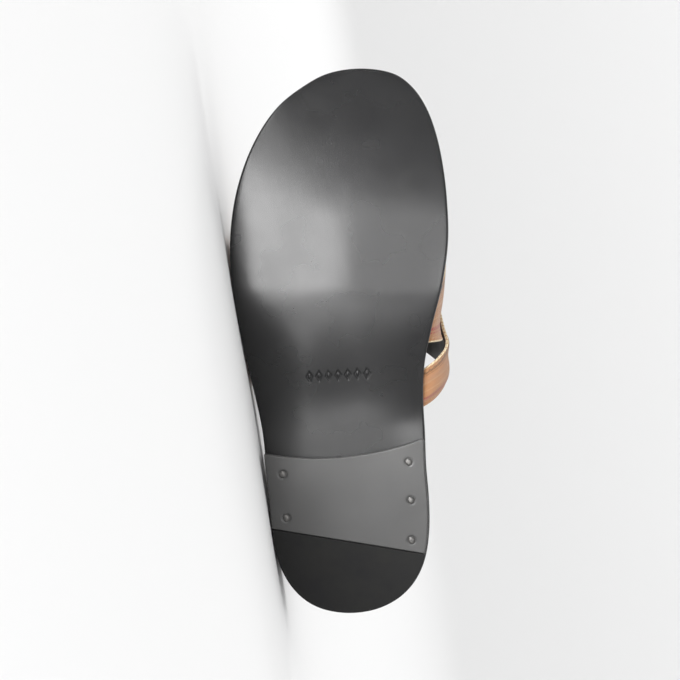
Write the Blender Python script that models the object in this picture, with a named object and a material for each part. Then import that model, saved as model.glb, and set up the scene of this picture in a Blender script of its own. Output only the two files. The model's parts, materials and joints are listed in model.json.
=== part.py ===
"""Leather crossover sandal for the right foot, lying on its outer side.

Each piece is modelled in the shoe's own frame, as if it stood on its sole: X runs across the foot towards
its outer side, Y runs from the heel to the toe and Z runs up from the ground. An empty then lays the whole
shoe down on its outer side, where the sole's edge and a strap carry it.
"""

import math
from collections import namedtuple

import bmesh
import bpy
import numpy as np
from mathutils import Matrix, Vector

# Sole, in metres
SOLE_LENGTH = 0.282
BALL_WIDTH = 0.1127
WAIST_WIDTH = 0.0846
HEEL_WIDTH = 0.0829
OUTSOLE_THICKNESS = 0.0045
OUTSOLE_BEVEL = 0.0010
TOE_SPRING = 0.0090

# Heel
HEEL_HEIGHT = 0.0110
HEEL_LENGTH = 0.0799
HEEL_INSET = 0.0006
HEEL_BEVEL = 0.0006
BREAST_RADIUS = 0.156
BREAST_OFFSET = 0.018
SEAT_MARGIN = 0.0020
TIP_LENGTH = 0.0369
TIP_SLANT = math.radians(9.0)
TIP_THICKNESS = 0.0060
TIP_PROUD = 0.0005
NAIL_HEAD_RADIUS = 0.0019
NAIL_HEAD_RISE = 0.0004
NAIL_LENGTH = 0.0050

# Insole
INSOLE_THICKNESS = 0.0065
INSOLE_INSET = 0.0015
INSOLE_BEVEL = 0.0012
CUP_RISE = 0.0040
ARCH_RISE = 0.0050

# Straps
STRAP_THICKNESS = 0.0026
STRAP_TAB = 0.0120
SLIT_DEPTH = 0.0035
INSTEP_HEIGHT = 0.0550
INNER_BELLY = 0.0190
OUTER_SETBACK = 0.0022
OUTER_BELLY = 0.0160
RIDGE_INWARD = 0.0080
STRAP_RAMP = 0.0090
SLANT_ALLOWANCE = 2.0

# Clearance between pieces that meet
GAP = 0.0003

# Stations along the sole, as shares of its length
TREAD_START = 0.600
TREAD_END = 0.720

# How finely the shapes are drawn
SOLE_STATIONS = 56
INSOLE_COLUMNS = 8
STRAP_STEPS = 48
STRAP_TAB_STEPS = 3
STRAP_COLUMNS = 6
END_CROWDING = 0.6
QUARTER_STEPS = 16
NAIL_SIDES = 16
BREAST_STEPS = 24

# Half width of the sole and shift of its middle towards the inner side, both as shares of the width named
SoleRow = namedtuple("SoleRow", "station half_width inward width")
SOLE_ROWS = (
    SoleRow(0.000, 0.000, -0.010, HEEL_WIDTH),
    SoleRow(0.010, 0.195, -0.008, HEEL_WIDTH),
    SoleRow(0.040, 0.349, 0.000, HEEL_WIDTH),
    SoleRow(0.090, 0.450, 0.000, HEEL_WIDTH),
    SoleRow(0.150, 0.490, -0.005, HEEL_WIDTH),
    SoleRow(0.210, 0.500, -0.017, HEEL_WIDTH),
    SoleRow(0.270, 0.503, -0.037, HEEL_WIDTH),
    SoleRow(0.330, 0.500, -0.051, WAIST_WIDTH),
    SoleRow(0.390, 0.515, -0.076, WAIST_WIDTH),
    SoleRow(0.450, 0.541, -0.096, WAIST_WIDTH),
    SoleRow(0.520, 0.441, -0.073, BALL_WIDTH),
    SoleRow(0.600, 0.482, -0.064, BALL_WIDTH),
    SoleRow(0.680, 0.500, -0.055, BALL_WIDTH),
    SoleRow(0.750, 0.489, -0.048, BALL_WIDTH),
    SoleRow(0.820, 0.456, -0.035, BALL_WIDTH),
    SoleRow(0.880, 0.406, -0.018, BALL_WIDTH),
    SoleRow(0.930, 0.338, 0.002, BALL_WIDTH),
    SoleRow(0.970, 0.239, 0.028, BALL_WIDTH),
    SoleRow(0.990, 0.155, 0.038, BALL_WIDTH),
    SoleRow(1.000, 0.000, 0.040, BALL_WIDTH),
)

# The last under the straps: how far it stands out past the sole's inner edge, as a share of the ball width, and
# how high its ridge is above the footbed, as a share of the instep height
LastRow = namedtuple("LastRow", "station inner_proud ridge")
LAST_ROWS = (
    LastRow(0.340, 0.004, 1.100),
    LastRow(0.400, 0.066, 1.060),
    LastRow(0.440, 0.100, 1.010),
    LastRow(0.480, 0.075, 0.955),
    LastRow(0.520, 0.026, 0.905),
    LastRow(0.580, 0.002, 0.830),
    LastRow(0.640, -0.014, 0.770),
    LastRow(0.720, -0.020, 0.700),
)

# Back and front edge of each strap as stations, against the share of the way over the foot from its inner side
StrapRow = namedtuple("StrapRow", "over back front")
OVER_STRAP = (
    StrapRow(0.00, 0.372, 0.440),
    StrapRow(0.12, 0.410, 0.500),
    StrapRow(0.25, 0.462, 0.592),
    StrapRow(0.38, 0.503, 0.648),
    StrapRow(0.50, 0.528, 0.675),
    StrapRow(0.65, 0.552, 0.697),
    StrapRow(0.80, 0.567, 0.700),
    StrapRow(1.00, 0.575, 0.682),
)
UNDER_STRAP = (
    StrapRow(0.00, 0.495, 0.600),
    StrapRow(0.15, 0.500, 0.650),
    StrapRow(0.30, 0.504, 0.674),
    StrapRow(0.45, 0.492, 0.660),
    StrapRow(0.60, 0.467, 0.622),
    StrapRow(0.80, 0.430, 0.570),
    StrapRow(1.00, 0.408, 0.528),
)

# Heel nails: across towards the outer side as a share of the heel width, and along as a share of the way from the
# rubber tip to the heel's front edge
NailPlace = namedtuple("NailPlace", "across along")
NAIL_PLACES = (
    NailPlace(0.422, 0.760),
    NailPlace(0.399, 0.184),
    NailPlace(-0.361, 0.832),
    NailPlace(-0.375, 0.475),
    NailPlace(-0.379, 0.110),
)

Finish = namedtuple("Finish", "colour roughness metallic")
FINISHES = {
    "sole_leather": Finish((0.022, 0.022, 0.022), 0.28, 0.0),
    "heel_leather": Finish((0.035, 0.034, 0.033), 0.30, 0.0),
    "heel_rubber": Finish((0.025, 0.025, 0.025), 0.75, 0.0),
    "nail_metal": Finish((0.040, 0.040, 0.040), 0.35, 0.8),
    "insole_leather": Finish((0.028, 0.027, 0.026), 0.50, 0.0),
    "strap_fabric": Finish((0.420, 0.240, 0.120), 0.85, 0.0),
}


def clear_scene():
    for thing in list(bpy.data.objects):
        bpy.data.objects.remove(thing, do_unlink=True)


def material(name):
    finish = FINISHES[name]
    made = bpy.data.materials.new(name)
    made.use_nodes = True
    shader = made.node_tree.nodes["Principled BSDF"]
    shader.inputs["Base Color"].default_value = (*finish.colour, 1.0)
    shader.inputs["Roughness"].default_value = finish.roughness
    shader.inputs["Metallic"].default_value = finish.metallic
    return made


def smooth_through(knots, values, where):
    """Reads a smooth curve through (knots, values) at where, with the slope at each knot taken from its neighbours."""
    knots = np.asarray(knots, float)
    values = np.asarray(values, float)
    slopes = np.gradient(values, knots)
    where = np.clip(np.asarray(where, float), knots[0], knots[-1])
    right = np.clip(np.searchsorted(knots, where), 1, len(knots) - 1)
    left = right - 1
    span = knots[right] - knots[left]
    t = (where - knots[left]) / span
    return (
        (2 * t**3 - 3 * t**2 + 1) * values[left]
        + (t**3 - 2 * t**2 + t) * span * slopes[left]
        + (3 * t**2 - 2 * t**3) * values[right]
        + (t**3 - t**2) * span * slopes[right]
    )


def ease(t):
    """0 below 0, 1 above 1, and a smooth step between."""
    t = min(max(t, 0.0), 1.0)
    return t * t * (3 - 2 * t)


def turn_of(station):
    """Stations as an angle, so that a curve that starts in proportion to it gives a round toe and heel."""
    return np.arccos(1 - 2 * np.clip(station, 0.0, 1.0))


def sole_sides(station):
    """How far the sole reaches from the middle line to the inner and to the outer side at a station."""
    turns = [float(turn_of(row.station)) for row in SOLE_ROWS]
    where = turn_of(station)
    half = smooth_through(turns, [row.half_width * row.width for row in SOLE_ROWS], where)
    inward = smooth_through(turns, [row.inward * row.width for row in SOLE_ROWS], where)
    return half + inward, half - inward


def breast_line(across):
    """How far the heel's hollow front edge lies from the back of the sole."""
    return HEEL_LENGTH + BREAST_RADIUS - math.sqrt(BREAST_RADIUS**2 - (across - BREAST_OFFSET) ** 2)


def tip_line(across):
    """How far the rubber tip's slanting front edge lies from the back of the sole."""
    return TIP_LENGTH + across * math.tan(TIP_SLANT)


def waist_start():
    """The station where the outsole starts to come down from its level seat on the heel."""
    return (breast_line(-HEEL_WIDTH / 2) + SEAT_MARGIN) / SOLE_LENGTH


def off_heel(station):
    """0 on the heel seat, 1 at the tread, and a smooth step along the waist between them."""
    return ease((station - waist_start()) / (TREAD_START - waist_start()))


def ground_clearance(station):
    """Height of the outsole's underside: raised on the heel, flat at the tread and curling up at the toe."""
    if station < TREAD_START:
        return HEEL_HEIGHT * (1 - off_heel(station))
    if station <= TREAD_END:
        return 0.0
    return TOE_SPRING * ((station - TREAD_END) / (1 - TREAD_END)) ** 2


def outsole_top(station):
    return ground_clearance(station) + OUTSOLE_THICKNESS


def footbed(station, across):
    """Height of the insole's top. across runs from -1 at its inner edge to 1 at its outer edge."""
    cup = CUP_RISE * (1 - off_heel(station))
    arch = ARCH_RISE * math.exp(-(((station - 0.42) / 0.13) ** 2)) * ease(-across)
    return outsole_top(station) + GAP + INSOLE_THICKNESS + cup * abs(across) ** 3 + arch


def outline(inset):
    """The sole's outline taken in by inset: outer side from heel to toe, then inner side back to the heel."""
    stations = (1 - np.cos(np.linspace(0, math.pi, SOLE_STATIONS + 1))) / 2
    inner, outer = sole_sides(stations)
    along = stations * SOLE_LENGTH
    out_side = np.column_stack([outer, along])
    in_side = np.column_stack([-inner, along])[::-1][1:-1]
    loop = np.vstack([out_side, in_side])
    tangent = np.roll(loop, -1, axis=0) - np.roll(loop, 1, axis=0)
    tangent /= np.linalg.norm(tangent, axis=1)[:, None]
    return loop + inset * np.column_stack([-tangent[:, 1], tangent[:, 0]])


def mesh_object(name, points, faces, finish):
    """One closed mesh with its faces turned outwards."""
    mesh = bpy.data.meshes.new(name)
    mesh.from_pydata([tuple(p) for p in points], [], faces)
    shape = bmesh.new()
    shape.from_mesh(mesh)
    bmesh.ops.recalc_face_normals(shape, faces=shape.faces)
    shape.to_mesh(mesh)
    shape.free()
    if finish:
        mesh.materials.append(material(finish))
    made = bpy.data.objects.new(name, mesh)
    bpy.context.scene.collection.objects.link(made)
    return made


def cap(loop_start, height, points, columns):
    """Faces that close the outline ring starting at loop_start, with rows of points across it from side to side."""
    count = 2 * SOLE_STATIONS
    rows = []
    for i in range(1, SOLE_STATIONS):
        start, end = loop_start + i, loop_start + count - i
        row = [start]
        for k in range(1, columns):
            share = k / columns
            x, y = (
                points[start][a] * (1 - share) + points[end][a] * share for a in range(2)
            )
            points.append((x, y, height(y / SOLE_LENGTH, 1 - 2 * share)))
            row.append(len(points) - 1)
        rows.append(row + [end])
    faces = [
        (a[k], a[k + 1], b[k + 1], b[k])
        for a, b in zip(rows[:-1], rows[1:])
        for k in range(columns)
    ]
    heel, toe = loop_start, loop_start + SOLE_STATIONS
    faces += [(heel, rows[0][k + 1], rows[0][k]) for k in range(columns)]
    faces += [(toe, rows[-1][k], rows[-1][k + 1]) for k in range(columns)]
    return faces


def sole_layer(name, rings, finish, top_columns=1):
    """A slab of the sole's outline. Each ring is (inset, height at a station and share across)."""
    count = 2 * SOLE_STATIONS
    points = []
    for inset, height in rings:
        for i, (x, y) in enumerate(outline(inset)):
            side = 1 if i <= SOLE_STATIONS else -1
            points.append((x, y, height(y / SOLE_LENGTH, side)))
    faces = []
    for r in range(len(rings) - 1):
        low, high = r * count, (r + 1) * count
        faces += [
            (low + i, low + (i + 1) % count, high + (i + 1) % count, high + i) for i in range(count)
        ]
    faces += cap(0, rings[0][1], points, 1)
    faces += cap((len(rings) - 1) * count, rings[-1][1], points, top_columns)
    return mesh_object(name, points, faces, finish)


def outsole():
    def at(rise):
        return lambda station, across: ground_clearance(station) + rise

    return sole_layer(
        "outsole",
        [
            (OUTSOLE_BEVEL, at(0.0)),
            (0.0, at(OUTSOLE_BEVEL)),
            (0.0, at(OUTSOLE_THICKNESS - OUTSOLE_BEVEL)),
            (OUTSOLE_BEVEL, at(OUTSOLE_THICKNESS)),
        ],
        "sole_leather",
    )


def insole():
    def under(station, across):
        return outsole_top(station) + GAP

    def shoulder(station, across):
        return footbed(station, across) - INSOLE_BEVEL

    return sole_layer(
        "insole",
        [
            (INSOLE_INSET, under),
            (INSOLE_INSET, shoulder),
            (INSOLE_INSET + INSOLE_BEVEL, footbed),
        ],
        "insole_leather",
        INSOLE_COLUMNS,
    )


def hide_helper(thing):
    thing.hide_render = True
    thing.display_type = "WIRE"


def boolean(target, cutter, operation):
    hide_helper(cutter)
    step = target.modifiers.new(f"{operation.lower()}_{cutter.name}", "BOOLEAN")
    step.operation = operation
    step.object = cutter
    step.solver = "EXACT"


def cylinder(name, radius, low, high, x, y):
    shape = bmesh.new()
    bmesh.ops.create_cone(
        shape, cap_ends=True, segments=NAIL_SIDES, radius1=radius, radius2=radius, depth=high - low
    )
    bmesh.ops.translate(shape, verts=shape.verts, vec=(x, y, (low + high) / 2))
    mesh = bpy.data.meshes.new(name)
    shape.to_mesh(mesh)
    shape.free()
    made = bpy.data.objects.new(name, mesh)
    bpy.context.scene.collection.objects.link(made)
    return made


def prism(name, corners, low, high):
    """A block with the given corners in plan, from low to high."""
    count = len(corners)
    points = [(x, y, z) for z in (low, high) for x, y in corners]
    faces = [tuple(range(count)), tuple(range(count, 2 * count))]
    faces += [(i, (i + 1) % count, count + (i + 1) % count, count + i) for i in range(count)]
    return mesh_object(name, points, faces, None)


def behind_tip_line(name, beyond, low, high):
    """A block behind the rubber tip's slanting edge and beyond it by the distance given."""
    reach = HEEL_WIDTH
    corners = [
        (reach, tip_line(reach) + beyond),
        (-reach, tip_line(-reach) + beyond),
        (-reach, -reach),
        (reach, -reach),
    ]
    return prism(name, corners, low, high)


def heel_slab(name, low, high, finish):
    """The heel's outline from low to high, with its lower edge bevelled."""

    def level(height):
        return lambda station, across: height

    return sole_layer(
        name,
        [
            (HEEL_INSET + HEEL_BEVEL, level(low)),
            (HEEL_INSET, level(low + HEEL_BEVEL)),
            (HEEL_INSET, level(high)),
        ],
        finish,
    )


def breast_cutter():
    """A block in front of the heel, whose back is the heel's hollow front edge, and that reaches past the toe."""
    side = 0.6 * HEEL_WIDTH
    curve = [(x, breast_line(x)) for x in np.linspace(-side, side, BREAST_STEPS + 1)]
    start = [(-BALL_WIDTH, 2 * SOLE_LENGTH), (-BALL_WIDTH, curve[0][1])]
    end = [(BALL_WIDTH, curve[-1][1]), (BALL_WIDTH, 2 * SOLE_LENGTH)]
    return prism("breast_cutter", start + curve + end, -HEEL_HEIGHT, 2 * HEEL_HEIGHT)


def heel():
    """The leather block with its hollow breast, its rebate for the rubber tip and its nail holes, and what fills them."""
    block = heel_slab("heel_block", TIP_PROUD, HEEL_HEIGHT - GAP, "heel_leather")
    boolean(block, breast_cutter(), "DIFFERENCE")
    rebate = behind_tip_line("tip_rebate", GAP, -HEEL_HEIGHT, TIP_THICKNESS + GAP)
    boolean(block, rebate, "DIFFERENCE")

    tip = heel_slab("heel_tip", 0.0, TIP_THICKNESS, "heel_rubber")
    boolean(tip, behind_tip_line("tip_bounds", 0.0, -HEEL_HEIGHT, HEEL_HEIGHT), "INTERSECT")

    pieces = [block, tip]
    for number, place in enumerate(NAIL_PLACES, start=1):
        x = place.across * HEEL_WIDTH
        y = tip_line(x) + place.along * (breast_line(x) - tip_line(x))
        top = TIP_PROUD + NAIL_LENGTH + GAP
        boolean(
            block,
            cylinder(f"nail_hole_{number}", NAIL_HEAD_RADIUS + GAP, -HEEL_HEIGHT, top, x, y),
            "DIFFERENCE",
        )
        pieces.append(nail(f"heel_nail_{number}", x, y))
    return pieces


def nail(name, x, y):
    """A nail whose domed head stands a little proud of the leather."""
    shape = bmesh.new()
    rings = []
    profile = [(1.0, TIP_PROUD + NAIL_LENGTH), (1.0, TIP_PROUD)]
    profile += [
        (math.cos(a), TIP_PROUD - NAIL_HEAD_RISE * math.sin(a))
        for a in (math.radians(30), math.radians(60))
    ]
    for share, height in profile:
        rings.append(
            [
                shape.verts.new(
                    (
                        x + NAIL_HEAD_RADIUS * share * math.cos(turn),
                        y + NAIL_HEAD_RADIUS * share * math.sin(turn),
                        height,
                    )
                )
                for turn in (2 * math.pi * i / NAIL_SIDES for i in range(NAIL_SIDES))
            ]
        )
    for above, below in zip(rings[:-1], rings[1:]):
        for i in range(NAIL_SIDES):
            j = (i + 1) % NAIL_SIDES
            shape.faces.new((above[i], above[j], below[j], below[i]))
    point = shape.verts.new((x, y, TIP_PROUD - NAIL_HEAD_RISE))
    for i in range(NAIL_SIDES):
        shape.faces.new((rings[-1][i], rings[-1][(i + 1) % NAIL_SIDES], point))
    shape.faces.new(rings[0])
    bmesh.ops.recalc_face_normals(shape, faces=shape.faces)
    mesh = bpy.data.meshes.new(name)
    shape.to_mesh(mesh)
    shape.free()
    mesh.materials.append(material("nail_metal"))
    made = bpy.data.objects.new(name, mesh)
    bpy.context.scene.collection.objects.link(made)
    return made


def quarter(centre, across, up, squareness):
    """A quarter of a rounded curve about centre: from straight beside it, across away, to straight above it, up away."""
    angles = np.linspace(0, math.pi / 2, QUARTER_STEPS + 1)
    power = 2 / squareness
    return np.column_stack(
        [
            centre[0] + across * np.cos(angles) ** power,
            centre[1] + up * np.sin(angles) ** power,
        ]
    )


def last_section(station):
    """How far the last stands out past the sole's inner edge, and how high its ridge is above the footbed."""
    stations = [row.station for row in LAST_ROWS]
    proud = smooth_through(stations, [row.inner_proud for row in LAST_ROWS], station)
    ridge = smooth_through(stations, [row.ridge for row in LAST_ROWS], station)
    return float(proud) * BALL_WIDTH, float(ridge) * INSTEP_HEIGHT


def arch(station):
    """Middle line of a strap over the foot at a station, from its inner slit over the instep to its outer slit."""
    inner_edge, outer_edge = (float(side) for side in sole_sides(station))
    slit = outsole_top(station) + GAP + STRAP_THICKNESS / 2
    inner_proud, ridge_rise = last_section(station)
    ridge_height = footbed(station, 0.0) + ridge_rise
    ridge = -RIDGE_INWARD
    inner_wide = inner_edge + inner_proud
    outer_wide = outer_edge - OUTER_SETBACK
    inner_slit = inner_edge - SLIT_DEPTH
    outer_slit = outer_wide - SLIT_DEPTH
    inner_belly = slit + INNER_BELLY
    outer_belly = slit + OUTER_BELLY
    pieces = [
        quarter((-inner_slit, inner_belly), -(inner_wide - inner_slit), -INNER_BELLY, 2.0)[::-1],
        quarter((ridge, inner_belly), -(inner_wide + ridge), ridge_height - inner_belly, 2.2)[1:],
        quarter((ridge, outer_belly), outer_wide - ridge, ridge_height - outer_belly, 2.3)[::-1][1:],
        quarter((outer_slit, outer_belly), SLIT_DEPTH, -OUTER_BELLY, 2.6)[1:],
    ]
    return np.vstack(pieces)


def strap_point(over, station):
    """A point of the straps' middle surface. over below 0 or above 1 counts metres into the inner or the outer slit."""
    line = arch(station)
    steps = np.linalg.norm(np.diff(line, axis=0), axis=1)
    length = np.concatenate([[0.0], np.cumsum(steps)])
    share = min(max(over, 0.0), 1.0) * length[-1]
    x = float(np.interp(share, length, line[:, 0]))
    z = float(np.interp(share, length, line[:, 1]))
    if over < 0:
        x -= over
    if over > 1:
        x -= over - 1
    return Vector((x, station * SOLE_LENGTH, z))


def strap_edges(rows, over):
    shares = [row.over for row in rows]
    back = smooth_through(shares, [row.back for row in rows], over)
    front = smooth_through(shares, [row.front for row in rows], over)
    return float(back), float(front)


def lift_over(over, station):
    """1 where the upper strap lies on the lower one, easing to 0 beside it."""
    back, front = strap_edges(UNDER_STRAP, over)
    beside = max(back - station, station - front, 0.0) * SOLE_LENGTH
    return ease(1 - beside / STRAP_RAMP)


def strap(name, rows, lifted, grow, finish):
    """A strap as a closed band. grow thickens it all round, for the room that it needs in the insole.

    It is widened by more than that along the foot, because its edges slant there.
    """
    tab = STRAP_TAB + grow
    even = np.linspace(0, 1, STRAP_STEPS + 1)
    overs = [-tab * (1 - i / STRAP_TAB_STEPS) for i in range(STRAP_TAB_STEPS)]
    overs += list(even + END_CROWDING * ((1 - np.cos(math.pi * even)) / 2 - even))
    overs += [1 + tab * (i + 1) / STRAP_TAB_STEPS for i in range(STRAP_TAB_STEPS)]
    margin = SLANT_ALLOWANCE * grow / SOLE_LENGTH
    inner_face, outer_face = [], []
    for over in overs:
        back, front = strap_edges(rows, over)
        back -= margin
        front += margin
        for k in range(STRAP_COLUMNS + 1):
            station = back + (front - back) * k / STRAP_COLUMNS
            place = strap_point(over, station)
            normal = surface_normal(over, station)
            lift = lift_over(over, station) if lifted else 0.0
            inner_face.append(place + normal * (STRAP_THICKNESS / 2 * (lift - 1) - grow))
            outer_face.append(place + normal * (STRAP_THICKNESS * (lift + 0.5) + grow))
    return mesh_object(name, inner_face + outer_face, band_faces(len(overs), STRAP_COLUMNS + 1), finish)


def surface_normal(over, station):
    """Outward normal of the straps' middle surface, from points a little way off along and across it."""
    step = 0.002
    low, high = (over - step, over + step)
    if over <= 0:
        low, high = over, over + step
        low = min(low, 0.0)
    if over >= 1:
        low, high = over - step, over
    around = strap_point(high, station) - strap_point(low, station)
    along = strap_point(over, station + step) - strap_point(over, station - step)
    return around.cross(along).normalized()


def band_faces(rows, columns):
    """Faces of a closed band whose inner and outer faces are grids of rows by columns."""
    layer = rows * columns
    faces = []
    for i in range(rows - 1):
        for k in range(columns - 1):
            a = i * columns + k
            b = a + columns + 1
            for face in ((a, a + 1, b), (a, b, a + columns)):
                faces.append(face)
                faces.append(tuple(layer + v for v in face))
    rim = [i * columns for i in range(rows)]
    rim += [(rows - 1) * columns + k for k in range(1, columns)]
    rim += [i * columns + columns - 1 for i in reversed(range(rows - 1))]
    rim += [k for k in reversed(range(1, columns - 1))]
    for a, b in zip(rim, rim[1:] + rim[:1]):
        faces += [(a, b, layer + b), (a, layer + b, layer + a)]
    return faces


def upper():
    """Two straps that cross on the instep, joined where the outer one lies on the inner one."""
    over = strap("upper", OVER_STRAP, True, 0.0, "strap_fabric")
    boolean(over, strap("under_strap", UNDER_STRAP, False, 0.0, None), "UNION")
    return over


def insole_with_slits():
    base = insole()
    for name, rows, lifted in (
        ("over_strap_room", OVER_STRAP, True),
        ("under_strap_room", UNDER_STRAP, False),
    ):
        boolean(base, strap(name, rows, lifted, GAP, None), "DIFFERENCE")
    return base


def evaluated_meshes(pieces):
    """Vertices and triangles of each piece in the shoe's own frame, modifiers included."""
    graph = bpy.context.evaluated_depsgraph_get()
    found = []
    for piece in pieces:
        evaluated = piece.evaluated_get(graph)
        mesh = evaluated.to_mesh()
        mesh.calc_loop_triangles()
        points = np.array([v.co for v in mesh.vertices], float)
        triangles = np.array([t.vertices for t in mesh.loop_triangles], int)
        evaluated.to_mesh_clear()
        found.append((points, triangles))
    return found


def centre_of_volume(meshes):
    total, moment = 0.0, np.zeros(3)
    for points, triangles in meshes:
        a, b, c = (points[triangles[:, k]] for k in range(3))
        volume = np.einsum("ij,ij->i", a, np.cross(b, c)) / 6
        total += volume.sum()
        moment += ((a + b + c) / 4 * volume[:, None]).sum(axis=0)
    return moment / total


def resting_face(meshes):
    """The face of the shoe's hull, on its outer side, that the centre of volume stands over: its outward normal."""
    centre = centre_of_volume(meshes)
    hull = bmesh.new()
    for points, _ in meshes:
        for point in points:
            hull.verts.new(point)
    found = bmesh.ops.convex_hull(hull, input=hull.verts)
    best = None
    for face in [g for g in found["geom"] if isinstance(g, bmesh.types.BMFace)]:
        normal = np.array(face.normal)
        corners = [np.array(v.co) for v in face.verts]
        inside = all(
            np.dot(np.cross(b - a, centre - a), normal) >= 0
            for a, b in zip(corners, corners[1:] + corners[:1])
        )
        if inside and (best is None or normal[0] > best[0]):
            best = normal
    hull.free()
    return Vector(best)


def lay_on_side(pieces, helpers):
    """Parents everything to an empty that rests the shoe on its outer side, toe towards -X and sole towards -Y."""
    meshes = evaluated_meshes(pieces)
    down = resting_face(meshes)
    along = Vector((0, 1, 0))
    along = (along - down * along.dot(down)).normalized()
    across = down.cross(along)
    turn = Matrix((-along, across, -down))
    points = np.vstack([points for points, _ in meshes]) @ np.array(turn).T
    low, high = points.min(axis=0), points.max(axis=0)
    shift = Vector((-(low[0] + high[0]) / 2, -(low[1] + high[1]) / 2, -low[2]))
    stance = bpy.data.objects.new("lying_on_outer_side", None)
    bpy.context.scene.collection.objects.link(stance)
    stance.matrix_world = Matrix.Translation(shift) @ turn.to_4x4()
    for thing in pieces + helpers:
        thing.parent = stance


def shade(piece):
    mesh = piece.data
    mesh.shade_smooth()
    mesh.set_sharp_from_angle(angle=math.radians(35))


def main():
    clear_scene()
    pieces = [outsole(), *heel(), insole_with_slits(), upper()]
    for piece in pieces:
        shade(piece)
    helpers = [thing for thing in bpy.data.objects if thing.hide_render]
    bpy.context.view_layer.update()
    lay_on_side(pieces, helpers)


main()
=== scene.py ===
"""The looks of a leather crossover sandal for the right foot, lying on its outer side.

Every shape is worked out in the shoe's own frame, as if it stood on its sole: X runs across the foot towards
its outer side, Y from the heel to the toe and Z up from the ground. The places of the two treads in the
record then say how the shoe lies on the floor.
"""

import json
import math
from collections import namedtuple

import bmesh
import bpy
import numpy as np
from mathutils import Matrix, Vector


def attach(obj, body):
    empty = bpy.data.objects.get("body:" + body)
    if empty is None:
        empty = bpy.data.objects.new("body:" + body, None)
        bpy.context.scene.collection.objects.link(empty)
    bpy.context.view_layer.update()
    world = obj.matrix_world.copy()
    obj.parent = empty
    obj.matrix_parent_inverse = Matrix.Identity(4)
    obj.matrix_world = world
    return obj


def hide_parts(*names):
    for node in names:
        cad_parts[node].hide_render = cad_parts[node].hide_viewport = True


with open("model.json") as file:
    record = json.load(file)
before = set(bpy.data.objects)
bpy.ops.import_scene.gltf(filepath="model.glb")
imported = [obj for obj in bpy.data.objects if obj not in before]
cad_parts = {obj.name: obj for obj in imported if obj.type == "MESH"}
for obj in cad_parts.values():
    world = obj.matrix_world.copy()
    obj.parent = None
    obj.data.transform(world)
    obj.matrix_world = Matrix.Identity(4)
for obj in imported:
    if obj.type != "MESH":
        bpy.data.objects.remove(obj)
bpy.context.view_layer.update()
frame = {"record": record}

# Sole, in metres
SOLE_LENGTH = 0.282
BALL_WIDTH = 0.1127
WAIST_WIDTH = 0.0846
HEEL_WIDTH = 0.0829
OUTSOLE_THICKNESS = 0.0045
OUTSOLE_ROUND = 0.0012
TOE_SPRING = 0.0090
CROWN_FOREFOOT = 0.0009
CROWN_WAIST = 0.0012
CROWN_POWER = 3.0
CROWN_STATION = 0.43
CROWN_REACH = 0.10
EDGE_SQUARENESS = 2.3

# Heel
HEEL_HEIGHT = 0.0110
HEEL_LENGTH = 0.0799
HEEL_INSET = 0.0006
BREAST_RADIUS = 0.156
BREAST_OFFSET = 0.018
SEAT_MARGIN = 0.0020
TIP_LENGTH = 0.0369
TIP_SLANT = math.radians(9.0)
TIP_THICKNESS = 0.0060
TIP_PROUD = 0.0005
HEEL_ROUND = 0.0004
BLOCK_OVERLAP = 0.0004
BLOCK_BEVEL = 0.0002
NAIL_HEAD_RADIUS = 0.0019
NAIL_HEAD_RISE = 0.0004
NAIL_SHANK_RADIUS = 0.0008
NAIL_LENGTH = 0.0050
NAIL_DIMPLE = 0.00022
NAIL_DIMPLE_REACH = 0.00045
NAIL_RIM = 0.0002
NAIL_NECK = 0.0006

# Insole
INSOLE_THICKNESS = 0.0065
INSOLE_INSET = 0.0015
INSOLE_ROUND = 0.0018
CUP_RISE = 0.0040
ARCH_RISE = 0.0050
ARCH_STATION = 0.42
ARCH_REACH = 0.13
CHAMFER = 0.0006
CHAMFER_RISE = 0.0007
NOTCH_RAMP = 0.0025

# Straps
STRAP_THICKNESS = 0.0026
STRAP_TAB = 0.0120
SLIT_DEPTH = 0.0035
INSTEP_HEIGHT = 0.0550
INNER_BELLY = 0.0190
OUTER_SETBACK = 0.0022
OUTER_BELLY = 0.0160
RIDGE_INWARD = 0.0080
STRAP_RAMP = 0.0090
STRAP_HALF_WIDTH = 0.0210
LINING_THICKNESS = 0.0011
LINING_SETBACK = 0.0011
CLOTH_CROWN = 0.0005
CLOTH_TUCK = 0.0001
LAP_ROOM = 0.0001

# Topstitching
STITCH_PITCH = 0.0034
STITCH_LENGTH = 0.0025
STITCH_WIDTH = 0.00055
STITCH_INSET = 0.0024
STITCH_DIP = 0.00035
STITCH_DIP_REACH = 0.0008
STITCH_AHEAD = 0.0005

# The row of pressed lozenges on the waist: its middle, its lean, and each lozenge's size and spacing
MARK_ACROSS = 0.0067
MARK_ALONG = 0.1228
MARK_LEAN = math.radians(-3.5)
MARK_COUNT = 7
MARK_SPACING = 0.0050
MARK_HALF_WIDE = 0.0021
MARK_HALF_LONG = 0.0034
MARK_DEPTH = 0.00040
MARK_SLOPE = 0.22
MARK_MIDDLE = 0.46

# Room between two solids
GAP = 0.0003

# Stations along the sole, as shares of its length
TREAD_START = 0.600
TREAD_END = 0.720

# Places of the two treads in the shoe's own frame, as the record has them on the floor
HEEL_TREAD = np.array([0.0, 0.018, 0.0])
FOREFOOT_TREAD = np.array([0.006, 0.66 * SOLE_LENGTH, 0.0])

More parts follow.
